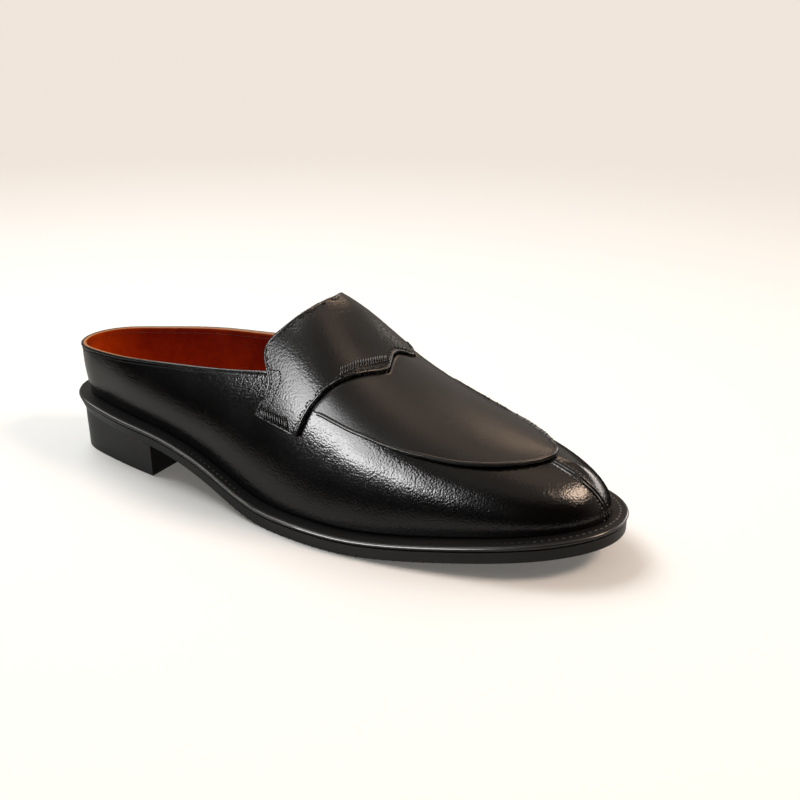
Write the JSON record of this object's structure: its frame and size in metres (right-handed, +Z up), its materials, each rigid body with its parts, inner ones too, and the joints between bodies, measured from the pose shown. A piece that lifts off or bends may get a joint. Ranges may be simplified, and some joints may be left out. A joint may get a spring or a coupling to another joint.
{
  "type": "mule shoe",
  "caption": "Backless leather loafer with a low collar, a saddle strap over the instep, a raised apron, a stitched welt and a low heel, for the right foot.",
  "frame": {"origin": "on the ground under the middle of the shoe's bounding box", "axes": "+X toward the toe, +Y toward the inner side of the foot, +Z up"},
  "size_m": [0.302, 0.1012, 0.0998],
  "materials": {
    "upper_leather": "black full-grain calf, semi-gloss",
    "lining_leather": "rust suede lining, matt",
    "welt_leather": "black, waxed and stitched",
    "sole_leather": "black edge dressing, satin",
    "heel_rubber": "black edge dressing, satin"
  },
  "bodies": {
    "root": {"outsole": "sole_leather", "heel": "heel_rubber", "welt": "welt_leather", "insole": "lining_leather", "upper": "upper_leather", "saddle_strap": "upper_leather", "apron": "upper_leather"}
  },
  "joints": []
}
